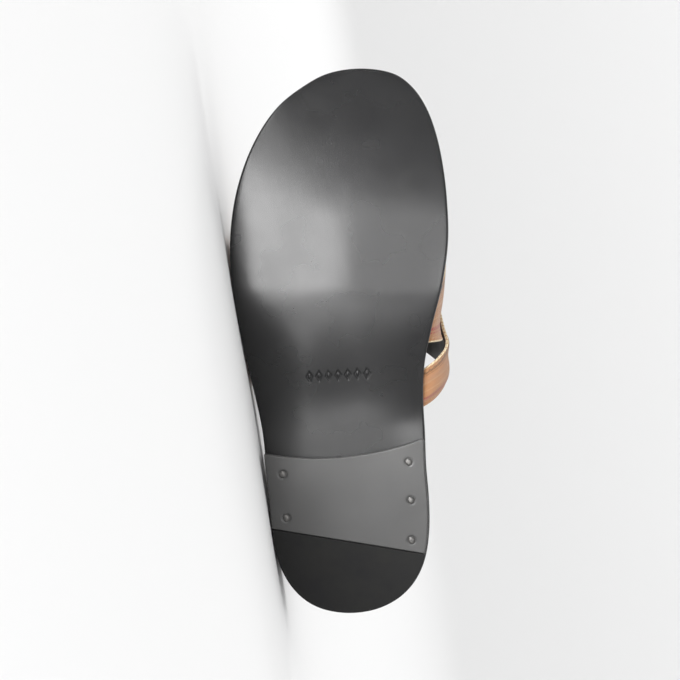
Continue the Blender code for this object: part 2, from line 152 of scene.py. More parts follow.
# How finely the shapes are drawn
SOLE_STATIONS = 170
SOLE_COLUMNS = 60
EDGE_STEPS = 12
INSOLE_STATIONS = 150
INSOLE_COLUMNS = 48
STRAP_STEPS = 190
STRAP_TAB_STEPS = 4
STRAP_COLUMNS = 44
QUARTER_STEPS = 40
HEEL_STEPS = 60
TREAD_ROWS = 110
TREAD_COLUMNS = 190
TREAD_ROUND_STEPS = 5
ROLL_STEPS = 8
DOME_STEPS = 8
NAIL_SIDES = 40
MARK_GRID = 0.00028
MARK_GRID_REACH = 0.0050
MARK_GRID_MARGIN = 0.001
EVENNESS = 0.35
END_TURN = 0.35
END_STATIONS = 14
LEAST_STEP = 4e-5
SLOPE_TURN = 0.002

# Nails' places across the heel as shares of its width, and along from the tip's edge to the breast
NailRow = namedtuple("NailRow", "across along")
NAIL_PLACES = (
    NailRow(0.422, 0.760),
    NailRow(0.399, 0.184),
    NailRow(-0.361, 0.832),
    NailRow(-0.375, 0.475),
    NailRow(-0.379, 0.110),
)

# Half width of the sole and shift of its middle towards the inner side, both as shares of the width named
SoleRow = namedtuple("SoleRow", "station half_width inward width")
SOLE_ROWS = (
    SoleRow(0.000, 0.000, -0.010, HEEL_WIDTH),
    SoleRow(0.010, 0.195, -0.008, HEEL_WIDTH),
    SoleRow(0.040, 0.349, 0.000, HEEL_WIDTH),
    SoleRow(0.090, 0.450, 0.000, HEEL_WIDTH),
    SoleRow(0.150, 0.490, -0.005, HEEL_WIDTH),
    SoleRow(0.210, 0.500, -0.017, HEEL_WIDTH),
    SoleRow(0.270, 0.503, -0.037, HEEL_WIDTH),
    SoleRow(0.330, 0.500, -0.051, WAIST_WIDTH),
    SoleRow(0.390, 0.515, -0.076, WAIST_WIDTH),
    SoleRow(0.450, 0.541, -0.096, WAIST_WIDTH),
    SoleRow(0.520, 0.441, -0.073, BALL_WIDTH),
    SoleRow(0.600, 0.482, -0.064, BALL_WIDTH),
    SoleRow(0.680, 0.500, -0.055, BALL_WIDTH),
    SoleRow(0.750, 0.489, -0.048, BALL_WIDTH),
    SoleRow(0.820, 0.456, -0.035, BALL_WIDTH),
    SoleRow(0.880, 0.406, -0.018, BALL_WIDTH),
    SoleRow(0.930, 0.338, 0.002, BALL_WIDTH),
    SoleRow(0.970, 0.239, 0.028, BALL_WIDTH),
    SoleRow(0.990, 0.155, 0.038, BALL_WIDTH),
    SoleRow(1.000, 0.000, 0.040, BALL_WIDTH),
)

# The last under the straps: how far it stands out past the sole's inner edge, as a share of the ball width,
# and how high its ridge is above the footbed, as a share of the instep height
LastRow = namedtuple("LastRow", "station inner_proud ridge")
LAST_ROWS = (
    LastRow(0.340, 0.004, 1.100),
    LastRow(0.400, 0.066, 1.060),
    LastRow(0.440, 0.100, 1.010),
    LastRow(0.480, 0.075, 0.955),
    LastRow(0.520, 0.026, 0.905),
    LastRow(0.580, 0.002, 0.830),
    LastRow(0.640, -0.014, 0.770),
    LastRow(0.720, -0.020, 0.700),
)

# Each strap's back and front edge as stations, by the share of the way over the foot from its inner side
StrapRow = namedtuple("StrapRow", "over back front")
OVER_STRAP = (
    StrapRow(0.00, 0.372, 0.440),
    StrapRow(0.12, 0.410, 0.500),
    StrapRow(0.25, 0.462, 0.592),
    StrapRow(0.38, 0.503, 0.648),
    StrapRow(0.50, 0.528, 0.675),
    StrapRow(0.65, 0.552, 0.697),
    StrapRow(0.80, 0.567, 0.700),
    StrapRow(1.00, 0.575, 0.682),
)
UNDER_STRAP = (
    StrapRow(0.00, 0.495, 0.600),
    StrapRow(0.15, 0.500, 0.650),
    StrapRow(0.30, 0.504, 0.674),
    StrapRow(0.45, 0.492, 0.660),
    StrapRow(0.60, 0.467, 0.622),
    StrapRow(0.80, 0.430, 0.570),
    StrapRow(1.00, 0.408, 0.528),
)

# Soft hollows and swellings of the sole's underside: place across towards the outer side, station, reach
# across and along, and depth into the sole, in metres apart from the station
DentRow = namedtuple("DentRow", "across station wide long depth")
TREAD_DENTS = (
    DentRow(0.030, 0.700, 0.022, 0.034, 0.00030),
    DentRow(0.002, 0.660, 0.014, 0.040, -0.00024),
    DentRow(-0.028, 0.640, 0.018, 0.036, 0.00022),
    DentRow(-0.050, 0.610, 0.014, 0.030, -0.00020),
    DentRow(0.022, 0.800, 0.018, 0.016, -0.00012),
    DentRow(0.034, 0.600, 0.018, 0.014, 0.00012),
    DentRow(0.008, 0.780, 0.014, 0.014, 0.00012),
    DentRow(-0.020, 0.770, 0.016, 0.018, -0.00014),
    DentRow(0.012, 0.880, 0.026, 0.014, -0.00018),
    DentRow(-0.018, 0.505, 0.016, 0.016, 0.00018),
    DentRow(0.018, 0.470, 0.018, 0.018, -0.00018),
    DentRow(-0.010, 0.375, 0.020, 0.012, 0.00020),
    DentRow(0.020, 0.345, 0.018, 0.010, -0.00014),
)

# Soft hollows of the heel leather and of the rubber tip
HEEL_DENTS = (
    DentRow(0.012, 0.205, 0.020, 0.014, 0.00010),
    DentRow(-0.018, 0.225, 0.016, 0.018, -0.00010),
    DentRow(0.026, 0.245, 0.012, 0.010, -0.00006),
)
RUBBER_DENTS = (
    DentRow(0.010, 0.050, 0.020, 0.012, 0.00012),
    DentRow(-0.012, 0.090, 0.020, 0.012, 0.00008),
)

# Where a foot has pressed the footbed down: heel, ball of the big toe, ball of the foot and big toe
FOOTBED_DENTS = (
    DentRow(0.002, 0.150, 0.026, 0.030, 0.0012),
    DentRow(-0.024, 0.680, 0.016, 0.022, 0.0009),
    DentRow(0.020, 0.655, 0.020, 0.024, 0.0007),
    DentRow(-0.026, 0.880, 0.012, 0.016, 0.0007),
)

# Creases of the straps: place over the foot, place across the strap from -1 at its back edge to 1 at its front
# one, half length over the foot, half width across as a share of the strap's half width, lean and height
CreaseRow = namedtuple("CreaseRow", "over across length width lean height")
OVER_CREASES = (
    CreaseRow(0.035, -0.45, 0.050, 0.16, 2.0, 0.00050),
    CreaseRow(0.030, 0.10, 0.045, 0.14, 0.5, -0.00045),
    CreaseRow(0.040, 0.55, 0.055, 0.16, -2.0, 0.00050),
    CreaseRow(0.230, 0.20, 0.060, 0.30, 5.0, -0.00050),
    CreaseRow(0.940, -0.35, 0.050, 0.18, -1.5, 0.00045),
    CreaseRow(0.950, 0.35, 0.045, 0.18, 1.5, -0.00040),
)
UNDER_CREASES = (
    CreaseRow(0.030, -0.30, 0.045, 0.15, 1.5, 0.00045),
    CreaseRow(0.035, 0.35, 0.050, 0.16, -1.5, -0.00040),
    CreaseRow(0.740, -0.10, 0.060, 0.30, -4.0, 0.00045),
    CreaseRow(0.950, 0.20, 0.050, 0.18, 1.0, 0.00045),
)

# Colours of the straps' cloth, as linear light
TAN = (0.390, 0.175, 0.070)
SAND = (0.470, 0.270, 0.130)
BROWN = (0.085, 0.038, 0.018)
IVORY = (0.720, 0.610, 0.390)
BRICK = (0.310, 0.030, 0.024)

# Lengthwise stripes of the straps' cloth, from the front edge, as shares of the strap's width. The wide brown band
# is a stripe that is also painted shade, laid where the straps' edges lie in shadow.
StripeRow = namedtuple("StripeRow", "start colour")
STRIPES = (
    StripeRow(0.000, IVORY),
    StripeRow(0.030, TAN),
    # partly painted shade: this wide brown band lies along the strap's edge where it is shaded
    StripeRow(0.100, BROWN),
    StripeRow(0.165, TAN),
    StripeRow(0.190, BROWN),
    StripeRow(0.210, TAN),
    StripeRow(0.400, SAND),
    StripeRow(0.430, TAN),
    StripeRow(0.590, SAND),
    StripeRow(0.620, TAN),
    StripeRow(0.750, BRICK),
    StripeRow(0.805, TAN),
    StripeRow(0.835, BRICK),
    StripeRow(0.855, TAN),
    StripeRow(0.970, IVORY),
)
YARN_PITCH = 0.00062

# Looks of the leathers: darkest and lightest colour as linear light, then roughness and the rest of the finish
PolishRow = namedtuple("PolishRow", "name dark light dull gloss shine")
SOLE_POLISH = PolishRow("sole_leather", (0.003, 0.003, 0.0035), (0.008, 0.008, 0.008), 0.31, 0.22, 0.26)
HEEL_POLISH = PolishRow("heel_leather", (0.014, 0.014, 0.014), (0.026, 0.025, 0.024), 0.44, 0.33, 0.42)
GrainRow = namedtuple("GrainRow", "name dark light roughness pebbles depth")
SOFT_BLACKS = ((0.012, 0.011, 0.010), (0.026, 0.024, 0.022))
FOOTBED_GRAIN = GrainRow("footbed_leather", *SOFT_BLACKS, 0.40, 820.0, 0.00014)
LINING_GRAIN = GrainRow("lining_leather", *SOFT_BLACKS, 0.55, 760.0, 0.00010)

# Camera, floor and lights
VIEW_TARGET = Vector((0.006, 0.141, 0.010))
VIEW_DISTANCE = 1.30
VIEW_INWARD = math.radians(3.3)
VIEW_HEELWARD = math.radians(0.5)
SHOE_SHARE = 0.80
ROOM_LIGHT = 0.97
FLOOR_GREY = 0.83
BACKDROP_GREY = 0.95
BACKDROP_GREY_FROM = 0.6
FLOOR_RINGS = (0.4, 1.2, 2.6)
BACKDROP_BEND = 1.2
BACKDROP_HEIGHT = 2.0
BACKDROP_SECTORS = 96
PANEL_HEIGHT = 0.002


def smooth_through(knots, values, where):
    """Reads a smooth curve through (knots, values) at where. Each knot's slope comes from its neighbours."""
    knots = np.asarray(knots, float)
    values = np.asarray(values, float)
    slopes = np.gradient(values, knots)
    where = np.clip(np.asarray(where, float), knots[0], knots[-1])
    right = np.clip(np.searchsorted(knots, where), 1, len(knots) - 1)
    left = right - 1
    span = knots[right] - knots[left]
    t = (where - knots[left]) / span
    return (
        (2 * t**3 - 3 * t**2 + 1) * values[left]
        + (t**3 - 2 * t**2 + t) * span * slopes[left]
        + (3 * t**2 - 2 * t**3) * values[right]
        + (t**3 - t**2) * span * slopes[right]
    )


def ease(t):
    """0 below 0, 1 above 1, and a smooth step between."""
    t = np.clip(t, 0.0, 1.0)
    return t * t * (3 - 2 * t)


def sole_sides(station):
    """How far the sole reaches from the middle line to the inner and to the outer side at a station."""
    turns = [math.acos(1 - 2 * row.station) for row in SOLE_ROWS]
    where = np.arccos(1 - 2 * np.clip(station, 0.0, 1.0))
    half = smooth_through(turns, [row.half_width * row.width for row in SOLE_ROWS], where)
    inward = smooth_through(turns, [row.inward * row.width for row in SOLE_ROWS], where)
    return half + inward, half - inward


def breast_line(across):
    """How far the heel's hollow front edge lies from the back of the sole."""
    return HEEL_LENGTH + BREAST_RADIUS - np.sqrt(BREAST_RADIUS**2 - (across - BREAST_OFFSET) ** 2)


def tip_line(across):
    """How far the rubber tip's slanting front edge lies from the back of the sole."""
    return TIP_LENGTH + across * math.tan(TIP_SLANT)


WAIST_START = (breast_line(-HEEL_WIDTH / 2) + SEAT_MARGIN) / SOLE_LENGTH


def off_heel(station):
    """0 on the heel seat, 1 at the tread, and a smooth step along the waist between them."""
    return ease((station - WAIST_START) / (TREAD_START - WAIST_START))


def ground_clearance(station):
    """Height of the outsole's underside: raised on the heel, flat at the tread and curling up at the toe."""
    spring = TOE_SPRING * (np.clip(station - TREAD_END, 0, 1) / (1 - TREAD_END)) ** 2
    return HEEL_HEIGHT * (1 - off_heel(station)) + spring


def outsole_top(station):
    return ground_clearance(station) + OUTSOLE_THICKNESS


def edge_nearness(station, across):
    """0 along the middle, 1 at the edge of the sole, also round the back of the heel."""
    radius = HEEL_WIDTH / 2
    behind = np.maximum(radius - station * SOLE_LENGTH, 0.0)
    inner, outer = sole_sides(station)
    return np.minimum(np.hypot(across * (inner + outer) / 2, behind) / radius, 1.0)


def footbed(station, across):
    """Height of the insole's top. across runs from -1 at its inner edge to 1 at its outer edge."""
    cup = CUP_RISE * (1 - off_heel(station))
    arch = ARCH_RISE * np.exp(-(((station - ARCH_STATION) / ARCH_REACH) ** 2)) * ease(-across)
    beside = np.where(station < HEEL_WIDTH / 2 / SOLE_LENGTH, edge_nearness(station, across), np.abs(across))
    return outsole_top(station) + GAP + INSOLE_THICKNESS + cup * beside**3 + arch


def dents(rows, x, y):
    """Summed depth at x and y of soft hollows, each a rounded bump of the reach given."""
    depth = np.zeros_like(x)
    for row in rows:
        across = (x - row.across) / row.wide
        along = (y - row.station * SOLE_LENGTH) / row.long
        depth += row.depth * np.exp(-(across**2) - along**2)
    return depth


def shoe_stance():
    """Rotation and shift from the shoe's own frame to the floor's, from where its two treads lie."""
    mounts = {mount["name"]: mount for mount in frame["record"]["mounts"]}
    heel, fore = (np.array(mounts[name]["pos_m"]) for name in ("heel_tread", "forefoot_tread"))
    up = -np.array(mounts["heel_tread"]["axis"])
    up /= np.linalg.norm(up)
    between = fore - heel
    between -= up * between.dot(up)
    between /= np.linalg.norm(between)
    local = FOREFOOT_TREAD - HEEL_TREAD
    turn = math.atan2(local[0], local[1])
    along = math.cos(turn) * between + math.sin(turn) * np.cross(up, between)
    rotation = np.column_stack([np.cross(along, up), along, up])
    return rotation, heel - rotation @ HEEL_TREAD


ROTATION, SHIFT = shoe_stance()


def on_floor(points):
    """Points of the shoe's own frame where they lie on the floor."""
    return np.asarray(points, float) @ ROTATION.T + SHIFT


def piece(name, points, faces, nodes, material, uv=None):
    """A mesh in the shoe's own frame that rides on the shoe and stands for the solids named."""
    mesh = bpy.data.meshes.new(name)
    mesh.from_pydata(on_floor(points).tolist(), [], [list(map(int, face)) for face in faces])
    mesh.shade_smooth()
    mesh.materials.append(material)
    if uv is not None:
        layer = mesh.uv_layers.new(name="UVMap")
        corners = np.empty(len(mesh.loops), dtype=int)
        mesh.loops.foreach_get("vertex_index", corners)
        layer.data.foreach_set("uv", np.asarray(uv, float)[corners].ravel())
    made = bpy.data.objects.new(name, mesh)
    bpy.context.scene.collection.objects.link(made)
    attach(made, "root")
    if nodes:
        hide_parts(*nodes)
    return made


def grid_faces(rows, columns, start=0, close=False, flip=False):
    """Quads of a grid of points numbered row by row from start. close joins the last column to the first."""
    a = np.arange(rows - 1)[:, None] * columns + np.arange(columns - (not close))[None, :]
    b = np.arange(rows - 1)[:, None] * columns + (np.arange(columns - (not close))[None, :] + 1) % columns
    faces = np.stack([a, b, b + columns, a + columns], axis=-1).reshape(-1, 4) + start
    return faces[:, ::-1] if flip else faces


class Recipe:
    """A material under way. Each method adds one node and returns the output that the next one reads."""

    def __init__(self, name, **fixed):
        self.material = bpy.data.materials.new(name)
        self.material.use_nodes = True
        self.tree = self.material.node_tree
        self.shader = self.tree.nodes["Principled BSDF"]
        for socket, value in fixed.items():
            self.set(socket.replace("_", " "), value)

    def feed(self, socket, value):
        if isinstance(value, bpy.types.NodeSocket):
            self.tree.links.new(value, socket)
        elif isinstance(value, tuple) and len(value) == 3 and socket.type == "RGBA":
            socket.default_value = (*value, 1.0)
        else:
            socket.default_value = value

    def set(self, socket, value):
        names = {name.lower(): name for name in self.shader.inputs.keys()}
        self.feed(self.shader.inputs[names[socket.lower()]], value)

    def node(self, kind, inputs=None, output=0, **settings):
        made = self.tree.nodes.new("ShaderNode" + kind)
        for name, value in settings.items():
            setattr(made, name, value)
        for name, value in (inputs or {}).items():
            self.feed(made.inputs[name], value)
        return made.outputs[output]

    def place(self, kind="Object", scale=(1.0, 1.0, 1.0)):
        source = self.node("TexCoord", output=kind)
        return self.node("Mapping", {"Vector": source, "Scale": scale})

    def noise(self, where, scale, detail=3.0, roughness=0.5):
        inputs = {"Vector": where, "Scale": scale, "Detail": detail, "Roughness": roughness}
        return self.node("TexNoise", inputs)

    def cells(self, where, scale, feature="F1"):
        output = "Distance"
        return self.node("TexVoronoi", {"Vector": where, "Scale": scale}, output, feature=feature)

    def math(self, operation, a, b=0.0):
        return self.node("Math", {0: a, 1: b}, operation=operation)

    def ramp(self, factor, stops, interpolation="LINEAR"):
        """Colours or greys by factor. stops are (place, value)."""
        made = self.tree.nodes.new("ShaderNodeValToRGB")
        made.color_ramp.interpolation = interpolation
        marks = made.color_ramp.elements
        while len(marks) < len(stops):
            marks.new(1.0)
        for mark, (place, value) in zip(marks, stops):
            mark.position = place
            mark.color = (*value, 1.0) if isinstance(value, tuple) else (value, value, value, 1.0)
        self.feed(made.inputs[0], factor)
        return made.outputs[0]

    def blend(self, factor, a, b, mode="MIX"):
        made = self.tree.nodes.new("ShaderNodeMix")
        made.data_type = "RGBA"
        made.blend_type = mode
        for name, value in (("Factor", factor), ("A", a), ("B", b)):
            kind = "VALUE" if name == "Factor" else "RGBA"
            socket = next(s for s in made.inputs if s.name == name and s.type == kind)
            self.feed(socket, value)
        return next(s for s in made.outputs if s.type == "RGBA")

    def bump(self, height, distance, strength=1.0, under=None):
        inputs = {"Height": height, "Distance": distance, "Strength": strength}
        if under is not None:
            inputs["Normal"] = under
        return self.node("Bump", inputs)


def polished_leather(name, dark, light, dull, gloss, shine):
    """Waxed black leather: cloudy colour, rubbed gloss, uneven wax and fine pores."""
    made = Recipe(name, Coat_Weight=0.10, Coat_Roughness=0.16, Specular_IOR_Level=shine)
    where = made.place()
    clouds = made.noise(where, 28.0, 4.0, 0.55)
    made.set("Base Color", made.blend(clouds, dark, light))
    rubbed = made.noise(where, 34.0, 3.0, 0.5)
    made.set("Roughness", made.ramp(rubbed, ((0.30, gloss), (0.70, dull))))
    pores = made.noise(where, 2100.0, 3.0, 0.6)
    wax = made.noise(made.place(scale=(1.0, 1.0, 2.0)), 75.0, 2.0, 0.5)
    polish = made.bump(wax, 0.00010, 0.30)
    made.set("Normal", made.bump(pores, 0.00002, 0.30, polish))
    return made.material


def grained_leather(name, dark, light, roughness, pebbles, depth):
    """Soft leather with a pebbled grain."""
    made = Recipe(name, Specular_IOR_Level=0.5)
    where = made.place()
    clouds = made.noise(where, 45.0, 3.0, 0.5)
    grain = made.cells(where, pebbles)
    made.set("Base Color", made.blend(clouds, dark, light))
    worn = made.noise(where, 90.0)
    made.set("Roughness", made.ramp(worn, ((0.3, roughness - 0.07), (0.7, roughness + 0.08))))
    fine = made.bump(made.noise(where, 2600.0, 2.0), 0.00004, 0.5)
    made.set("Normal", made.bump(grain, depth, 0.55, fine))
    return made.material


def matte_rubber():
    made = Recipe("matte_rubber", Specular_IOR_Level=0.12)
    where = made.place()
    dust = made.noise(where, 60.0, 5.0, 0.65)
    made.set("Base Color", made.ramp(dust, ((0.35, (0.010, 0.010, 0.0105)), (0.75, (0.016, 0.016, 0.015)))))
    made.set("Roughness", made.ramp(dust, ((0.3, 0.62), (0.7, 0.78))))
    made.set("Normal", made.bump(made.noise(where, 1400.0, 4.0, 0.7), 0.00008, 0.5))
    return made.material


def dark_metal():
    made = Recipe("dark_metal", Metallic=0.85)
    where = made.place()
    tarnish = made.noise(where, 500.0)
    made.set("Base Color", made.ramp(tarnish, ((0.3, (0.05, 0.05, 0.05)), (0.7, (0.11, 0.105, 0.1)))))
    made.set("Roughness", made.ramp(made.noise(where, 900.0, 4.0), ((0.3, 0.28), (0.7, 0.48))))
    made.set("Normal", made.bump(made.noise(where, 1500.0, 3.0), 0.00005, 0.4))
    return made.material


def striped_cloth():
    """Twill with lengthwise stripes in its warp, its colour darkened as painted shade where the yarns dip. The
    map's first axis runs along the strap.
    """
    made = Recipe("striped_cloth", Sheen_Weight=0.35, Sheen_Roughness=0.5, Specular_IOR_Level=0.25)
    where = made.node("TexCoord", output="UV")
    split = made.tree.nodes.new("ShaderNodeSeparateXYZ")
    made.feed(split.inputs[0], where)
    along = made.math("DIVIDE", split.outputs[0], YARN_PITCH)
    across = made.math("DIVIDE", split.outputs[1], YARN_PITCH)
    steps = made.math("ADD", made.math("FLOOR", along), made.math("FLOOR", across))
    warp_up = made.math("LESS_THAN", made.math("FLOORED_MODULO", steps, 4.0), 2.5)
    warp_round = made.math("ABSOLUTE", made.math("SINE", made.math("MULTIPLY", across, math.pi)))
    weft_round = made.math("ABSOLUTE", made.math("SINE", made.math("MULTIPLY", along, math.pi)))
    height = made.blend(warp_up, weft_round, warp_round)
    share = made.math("DIVIDE", split.outputs[1], 2 * STRAP_HALF_WIDTH)
    stripes = made.ramp(share, [(row.start, row.colour) for row in STRIPES], "CONSTANT")
    weft = made.blend(0.35, TAN, SAND)
    woven = made.blend(warp_up, weft, stripes)
    # painted shade: the colour is darkened in the hollows of the weave between the yarns
    shade = made.ramp(height, ((0.0, 0.50), (0.6, 1.0)))
    yarns = made.noise(made.place("UV", (900.0, 2200.0, 1.0)), 1.0, 3.0, 0.6)
    slub = made.ramp(yarns, ((0.3, 0.80), (0.7, 1.08)))
    coloured = made.blend(1.0, woven, shade, "MULTIPLY")
    made.set("Base Color", made.blend(1.0, coloured, slub, "MULTIPLY"))
    made.set("Roughness", made.ramp(slub, ((0.8, 0.92), (1.0, 0.80))))
    fuzz = made.bump(made.noise(made.place(), 3800.0, 3.0), 0.00006, 0.5)
    made.set("Normal", made.bump(height, 0.00016, 0.75, fuzz))
    return made.material


def thread():
    made = Recipe("thread", Sheen_Weight=0.3, Specular_IOR_Level=0.3)
    twist = made.noise(made.place(scale=(1.0, 1.0, 3.0)), 2600.0, 2.0)
    made.set("Base Color", made.ramp(twist, ((0.3, (0.30, 0.15, 0.065)), (0.7, (0.50, 0.29, 0.14)))))
    made.set("Roughness", made.ramp(twist, ((0.3, 0.60), (0.7, 0.80))))
    made.set("Normal", made.bump(twist, 0.00010, 0.7))
    return made.material


def edge_points(turns, sign):
    """Points of the outer edge (sign 1) or inner edge (sign -1), from 0 at the heel to pi at the toe."""
    stations = (1 - np.cos(np.clip(turns, 0.0, math.pi))) / 2
    inner, outer = sole_sides(stations)
    return np.column_stack([outer if sign > 0 else -inner, stations * SOLE_LENGTH])


def ladder(stations, inset):
    """Outline points at the stations, outer side then inner side, taken in by inset: two arrays of (x, y)."""
    turns = np.arccos(1 - 2 * stations)
    sides = []
    for sign in (1.0, -1.0):
        slope = edge_points(turns + SLOPE_TURN, sign) - edge_points(turns - SLOPE_TURN, sign)
        slope /= np.linalg.norm(slope, axis=1)[:, None]
        sides.append(edge_points(turns, sign) + inset * sign * np.column_stack([-slope[:, 1], slope[:, 0]]))
    ends = [0, -1] if stations[-1] == 1.0 else [0]
    middle = (sides[0][ends, 0] + sides[1][ends, 0]) / 2
    for side in sides:
        side[ends, 0] = middle
    return sides


def sole_stations(count, zones=()):
    """Stations from heel to toe, crowded at both ends, with finer ones in each zone of (start, end, step)."""
    even = np.linspace(0, math.pi, count + 1)
    found = (1 - np.cos(even)) / 2
    found = (1 - EVENNESS) * found + EVENNESS * even / math.pi
    ends = (1 - np.cos(np.linspace(0, END_TURN, END_STATIONS))) / 2
    found = np.concatenate([found, ends, 1 - ends])
    for start, end, step in zones:
        found = np.concatenate([found[(found < start) | (found > end)], np.arange(start, end, step)])
    found = np.unique(np.round(found, 6))
    return found[np.concatenate([[True], np.diff(found) > LEAST_STEP])]


def layered_shell(name, stations, shares, rings, bottom, top, nodes, material):
    """A closed slab of the sole's outline.

    rings are (inset, height) from the underside's rim round the edge to the top's rim. Each height, like bottom
    and top for the grid inside those rims, is worked out from the station, the side from -1 to 1, x and y.
    """
    count = len(stations)
    points = []
    for inset, height in rings:
        outer, inner = ladder(stations, inset)
        inner = inner[1:-1][::-1]
        ring = np.vstack([outer, inner])
        side = np.concatenate([np.ones(count), -np.ones(count - 2)])
        rise = height(ring[:, 1] / SOLE_LENGTH, side, ring[:, 0], ring[:, 1])
        points.append(np.column_stack([ring, rise]))
    around = 2 * count - 2
    shell = np.vstack(points)
    faces = [grid_faces(len(rings), around, 0, close=True)]
    extra = []
    start = len(shell)
    for ring_index, height, flip in ((0, bottom, True), (len(rings) - 1, top, False)):
        ring = points[ring_index]
        rows = np.arange(1, count - 1)
        outer, inner = ring[rows], ring[around - rows]
        share = shares[None, 1:-1, None]
        inside = outer[:, None, :] * (1 - share) + inner[:, None, :] * share
        where = inside[..., 1] / SOLE_LENGTH
        side = np.broadcast_to(1 - 2 * shares[None, 1:-1], where.shape)
        inside[..., 2] = height(where, side, inside[..., 0], inside[..., 1])
        columns = len(shares)
        index = np.empty((count - 2, columns), dtype=int)
        index[:, 0] = ring_index * around + rows
        index[:, -1] = ring_index * around + around - rows
        index[:, 1:-1] = start + np.arange(inside[..., 0].size).reshape(inside.shape[:2])
        quads = np.stack([index[:-1, :-1], index[:-1, 1:], index[1:, 1:], index[1:, :-1]], axis=-1)
        quads = quads.reshape(-1, 4)
        heel = ring_index * around
        toe = ring_index * around + count - 1
        fans = [(heel, index[0, k + 1], index[0, k]) for k in range(columns - 1)]
        fans += [(toe, index[-1, k], index[-1, k + 1]) for k in range(columns - 1)]
        faces.append(quads if flip else quads[:, ::-1])
        faces.append([fan if flip else fan[::-1] for fan in fans])
        extra.append(inside.reshape(-1, 3))
        start += inside[..., 0].size
    every = [face for group in faces for face in group]
    return piece(name, np.vstack([shell] + extra), every, nodes, material)


def round_edge(inset, steps, squareness):
    """Rings of a rounded edge: (inset, share of the way from bottom to top)."""
    found = []
    for turn in np.linspace(-math.pi / 2, math.pi / 2, steps + 1):
        across = abs(math.cos(turn)) ** (2 / squareness)
        up = math.copysign(abs(math.sin(turn)) ** (2 / squareness), math.sin(turn))
        found.append((inset * (1 - across), (1 + up) / 2))
    return found


def pressed_marks(x, y):
    """Depth of a row of lozenges pressed into the leather, each with a raised middle."""
    u = (x - MARK_ACROSS) * math.cos(MARK_LEAN) + (y - MARK_ALONG) * math.sin(MARK_LEAN)
    v = -(x - MARK_ACROSS) * math.sin(MARK_LEAN) + (y - MARK_ALONG) * math.cos(MARK_LEAN)
    number = np.clip(np.round(u / MARK_SPACING), -(MARK_COUNT // 2), MARK_COUNT // 2)
    size = np.abs(u - number * MARK_SPACING) / MARK_HALF_WIDE + np.abs(v) / MARK_HALF_LONG
    rim = ease((1.0 - size) / MARK_SLOPE)
    middle = ease((MARK_MIDDLE - size) / MARK_SLOPE)
    return MARK_DEPTH * (rim - middle)


def outsole():
    """The polished sole, with a crowned underside, a rounded edge and soft hollows in its reflections."""

    def tread(station, side, x, y):
        waist = np.exp(-(((station - CROWN_STATION) / CROWN_REACH) ** 2))
        crown = (CROWN_FOREFOOT + CROWN_WAIST * waist) * np.abs(side) ** CROWN_POWER
        return ground_clearance(station) + crown + dents(TREAD_DENTS, x, y) + pressed_marks(x, y)

    def over(station, side, x, y):
        return outsole_top(station)

    rings = []
    for inset, share in round_edge(OUTSOLE_ROUND, EDGE_STEPS, EDGE_SQUARENESS):
        rings.append((inset, lambda *where, share=share: tread(*where) * (1 - share) + over(*where) * share))
    zone = (MARK_ALONG - MARK_GRID_REACH, MARK_ALONG + MARK_GRID_REACH, MARK_GRID)
    inner, outer = (float(v) for v in sole_sides(MARK_ALONG / SOLE_LENGTH))
    reach = MARK_SPACING * MARK_COUNT / 2 + MARK_GRID_MARGIN
    low = (outer - MARK_ACROSS - reach) / (inner + outer)
    high = (outer - MARK_ACROSS + reach) / (inner + outer)
    coarse = np.linspace(0, 1, SOLE_COLUMNS + 1)
    fine = np.arange(low, high, MARK_GRID / (inner + outer))
    shares = np.concatenate([coarse[(coarse < low) | (coarse > high)], fine])
    return layered_shell(
        "outsole_leather",
        sole_stations(SOLE_STATIONS, [tuple(value / SOLE_LENGTH for value in zone)]),
        np.unique(shares),
        rings,
        tread,
        over,
        ["outsole"],
        polished_leather(*SOLE_POLISH),
    )


def footbed_piece():
    """The moulded insole: cupped heel, arch, prints of a foot, a rolled edge and notches for the straps."""

    def pressed(station, side, x, y):
        return footbed(station, side) - dents(FOOTBED_DENTS, x, y)

    def under(station, side, x, y):
        return outsole_top(station) + GAP

    def notch(station, side):
        """Extra inset where a strap goes down beside the insole."""
        depth = np.zeros_like(station)
        for rows in (OVER_STRAP, UNDER_STRAP):
            for row, here in ((rows[0], side < 0), (rows[-1], side > 0)):
                beside = np.maximum(row.back - station, station - row.front) * SOLE_LENGTH
                depth = np.maximum(depth, np.where(here, ease(1 - beside / NOTCH_RAMP), 0.0))
        return depth * (SLIT_DEPTH + STRAP_THICKNESS / 2 + GAP - INSOLE_INSET)

    stations = sole_stations(INSOLE_STATIONS)
    side = np.concatenate([np.ones(len(stations)), -np.ones(len(stations) - 2)])
    where = np.concatenate([stations, stations[1:-1][::-1]])
    notches = notch(where, side)
    rings = [(INSOLE_INSET + CHAMFER, under), (INSOLE_INSET, lambda *where: under(*where) + CHAMFER_RISE)]
    for turn in np.linspace(0, math.pi / 2, ROLL_STEPS + 1):
        inset = INSOLE_INSET + INSOLE_ROUND * (1 - math.cos(turn))
        drop = INSOLE_ROUND * (1 - math.sin(turn))
        rings.append((inset, lambda *where, drop=drop: pressed(*where) - drop))
    made = layered_shell(
        "footbed_leather",
        stations,
        np.linspace(0, 1, INSOLE_COLUMNS + 1),
        rings,
        under,
        pressed,
        ["insole"],
        grained_leather(*FOOTBED_GRAIN),
    )
    pull_in(made, notches, len(rings))
    return made


def pull_in(made, depth, rings):
    """Moves the rings of a slab towards its middle line by the depth at each point round it."""
    mesh = made.data
    around = len(depth)
    points = np.empty(len(mesh.vertices) * 3)
    mesh.vertices.foreach_get("co", points)
    shoe = (points.reshape(-1, 3) - SHIFT) @ ROTATION
    sign = np.sign(shoe[: rings * around, 0])
    shoe[: rings * around, 0] -= sign * np.tile(depth, rings)
    mesh.vertices.foreach_set("co", on_floor(shoe).ravel())
    mesh.update()


